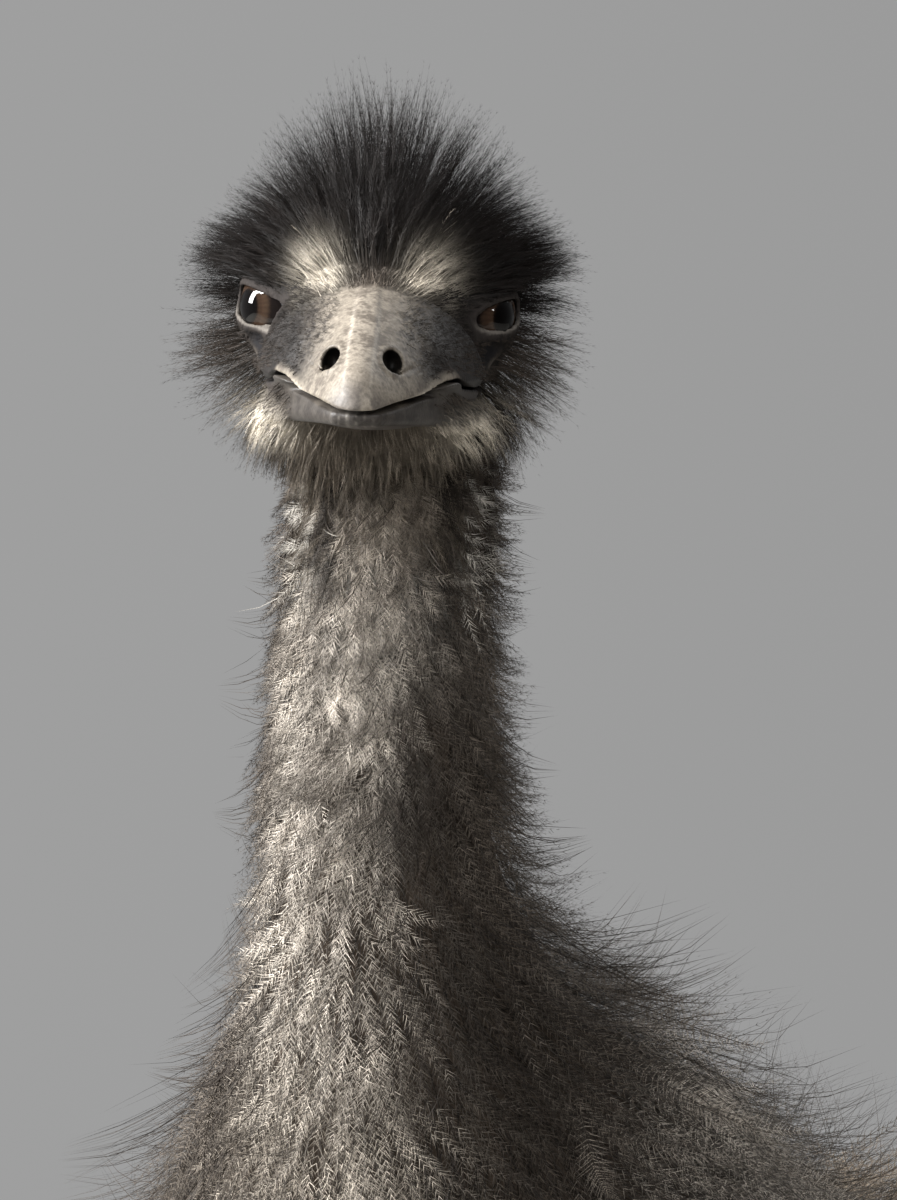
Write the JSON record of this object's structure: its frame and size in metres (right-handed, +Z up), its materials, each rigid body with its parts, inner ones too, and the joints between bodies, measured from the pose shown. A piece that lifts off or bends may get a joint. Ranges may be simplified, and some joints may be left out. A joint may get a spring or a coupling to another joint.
{
  "type": "emu",
  "caption": "Life-size standing emu, a still model: upstanding dark crown, broad bill, shaggy double-shafted plumage, bare scaly legs and three-toed feet, head turned to its left.",
  "frame": {"origin": "on the floor, under the middle of the whole bird's box", "axes": "+Z up; the trunk faces -Y and the bird's left side is +X; the head is turned about 19 degrees to the bird's left"},
  "size_m": [0.443, 1.1556, 1.4708],
  "materials": {
    "crown_plumage": "matte",
    "neck_plumage": "matte",
    "body_plumage": "matte",
    "horn": "satin",
    "claw_horn": "satin",
    "scaly_leg": "matte",
    "wet_eye": "gloss"
  },
  "bodies": {
    "root": {"head": "crown_plumage", "bill_upper": "horn", "bill_lower": "horn", "eye_left": "wet_eye", "eye_right": "wet_eye", "neck_upper": "neck_plumage", "neck_middle": "neck_plumage", "neck_lower": "neck_plumage", "trunk": "body_plumage", "tail": "body_plumage", "wing_left": "body_plumage", "wing_right": "body_plumage", "thigh_left": "body_plumage", "shank_left": "scaly_leg", "tarsus_left": "scaly_leg", "toe_middle_left": "scaly_leg", "claw_middle_left": "claw_horn", "toe_outer_left": "scaly_leg", "claw_outer_left": "claw_horn", "toe_inner_left": "scaly_leg", "claw_inner_left": "claw_horn", "thigh_right": "body_plumage", "shank_right": "scaly_leg", "tarsus_right": "scaly_leg", "toe_middle_right": "scaly_leg", "claw_middle_right": "claw_horn", "toe_outer_right": "scaly_leg", "claw_outer_right": "claw_horn", "toe_inner_right": "scaly_leg", "claw_inner_right": "claw_horn"}
  },
  "joints": []
}
